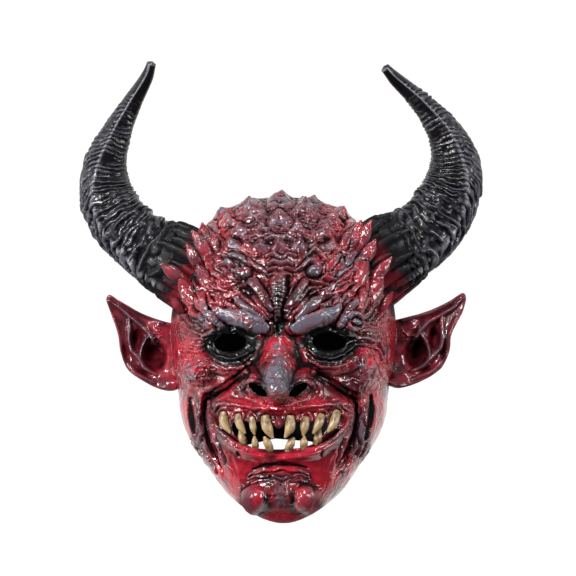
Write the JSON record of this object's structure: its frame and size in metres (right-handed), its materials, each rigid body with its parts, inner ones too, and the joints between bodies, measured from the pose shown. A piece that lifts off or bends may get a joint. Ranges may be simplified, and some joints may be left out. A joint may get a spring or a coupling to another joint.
{
  "type": "devil mask",
  "caption": "Over-the-head rubber devil mask with tall ringed horns, pointed ears and a toothed grin, lying face up on its back",
  "frame": {"origin": "centre of the part's box on the floor, under the flat spot on the back of the head", "axes": "+X to the right of the face as seen, +Y up the face from the chin to the horn tips, +Z out of the face, with the mask lying face up"},
  "size_m": [0.3615, 0.4074, 0.238],
  "materials": {
    "red_rubber": "glossy painted latex with black in the creases and grey rubbed on the high spots",
    "horn_rubber": "satin charcoal paint with grey rubbed on the ridges",
    "tooth_resin": "stained bone-coloured cast resin"
  },
  "bodies": {
    "root": {"mask_skin": "red_rubber", "left_horn": "horn_rubber", "right_horn": "horn_rubber", "upper_tooth_1": "tooth_resin", "upper_tooth_2": "tooth_resin", "upper_tooth_3": "tooth_resin", "upper_tooth_4": "tooth_resin", "upper_tooth_5": "tooth_resin", "upper_tooth_6": "tooth_resin", "upper_tooth_7": "tooth_resin", "upper_tooth_8": "tooth_resin", "lower_tooth_1": "tooth_resin", "lower_tooth_2": "tooth_resin", "lower_tooth_3": "tooth_resin", "lower_tooth_4": "tooth_resin", "lower_tooth_5": "tooth_resin", "lower_tooth_6": "tooth_resin"}
  },
  "joints": []
}
